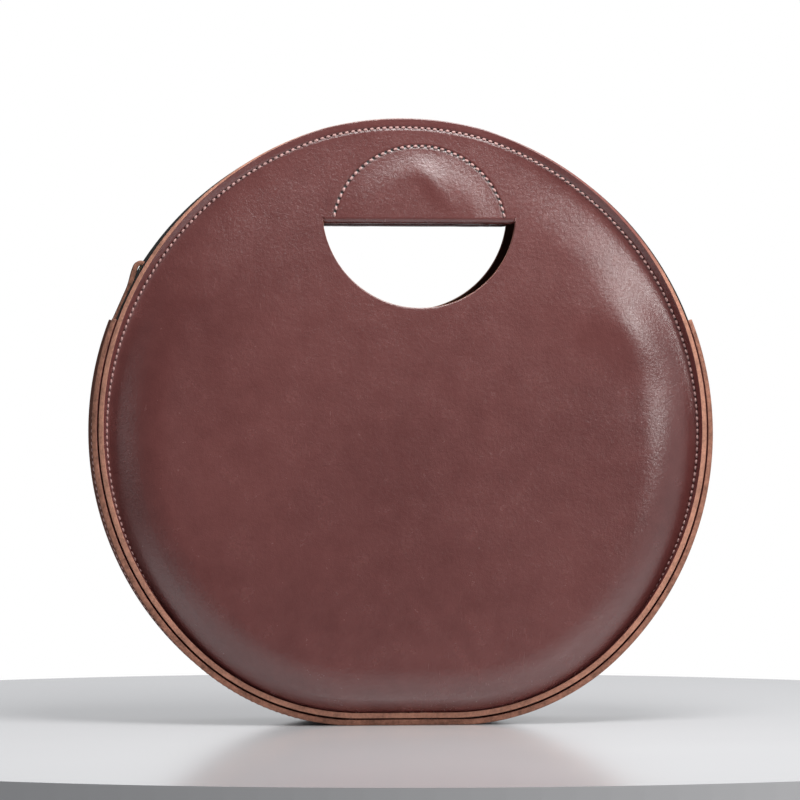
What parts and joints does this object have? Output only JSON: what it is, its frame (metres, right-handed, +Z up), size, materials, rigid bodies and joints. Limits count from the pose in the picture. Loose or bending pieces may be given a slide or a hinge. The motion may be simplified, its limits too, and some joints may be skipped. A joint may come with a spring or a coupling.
{
  "type": "round leather handbag",
  "caption": "Round leather handbag with a half-moon hand hole in each face, a folded and stitched grip above it, a gusset it stands on and a zip over the top.",
  "frame": {"origin": "on the table, under the middle of the bag", "axes": "+X to the right seen from the front, +Y to the back, +Z up"},
  "size_m": [0.305, 0.0816, 0.2955],
  "materials": {
    "leather": "smooth waxed, slight sheen",
    "thread": "waxed thread",
    "zip_tape": "woven matte",
    "brass": "aged satin"
  },
  "bodies": {
    "bag": {"front_panel": "leather", "back_panel": "leather", "gusset": "leather", "front_seam_thread": "thread", "back_seam_thread": "thread", "front_grip_thread": "thread", "back_grip_thread": "thread", "zip_tape_front": "zip_tape", "zip_tape_back": "zip_tape", "zip_teeth_front": "brass", "zip_teeth_back": "brass", "zip_top_stops": "brass", "zip_bottom_stop": "brass"},
    "slider": {"zip_slider": "brass"},
    "bail": {"zip_bail": "brass"},
    "pull": {"leather_pull": "leather"}
  },
  "joints": [
    {"name": "slider_run", "type": "hinge", "parent": "bag", "child": "slider", "pos_m": [0, 0, 0.143], "axis": [0, 1, 0], "range_deg": [0, 114], "deforming": ["zip_teeth_front", "zip_teeth_back"]},
    {"name": "bail_swing", "type": "hinge", "parent": "slider", "child": "bail", "pos_m": [-0.12041, 0, 0.22422], "axis": [0, 1, 0], "range_deg": [0, 100]},
    {"name": "pull_swing", "type": "hinge", "parent": "bail", "child": "pull", "pos_m": [-0.12762, 0, 0.22215], "axis": [0, 1, 0], "range_deg": [0, 100]}
  ]
}
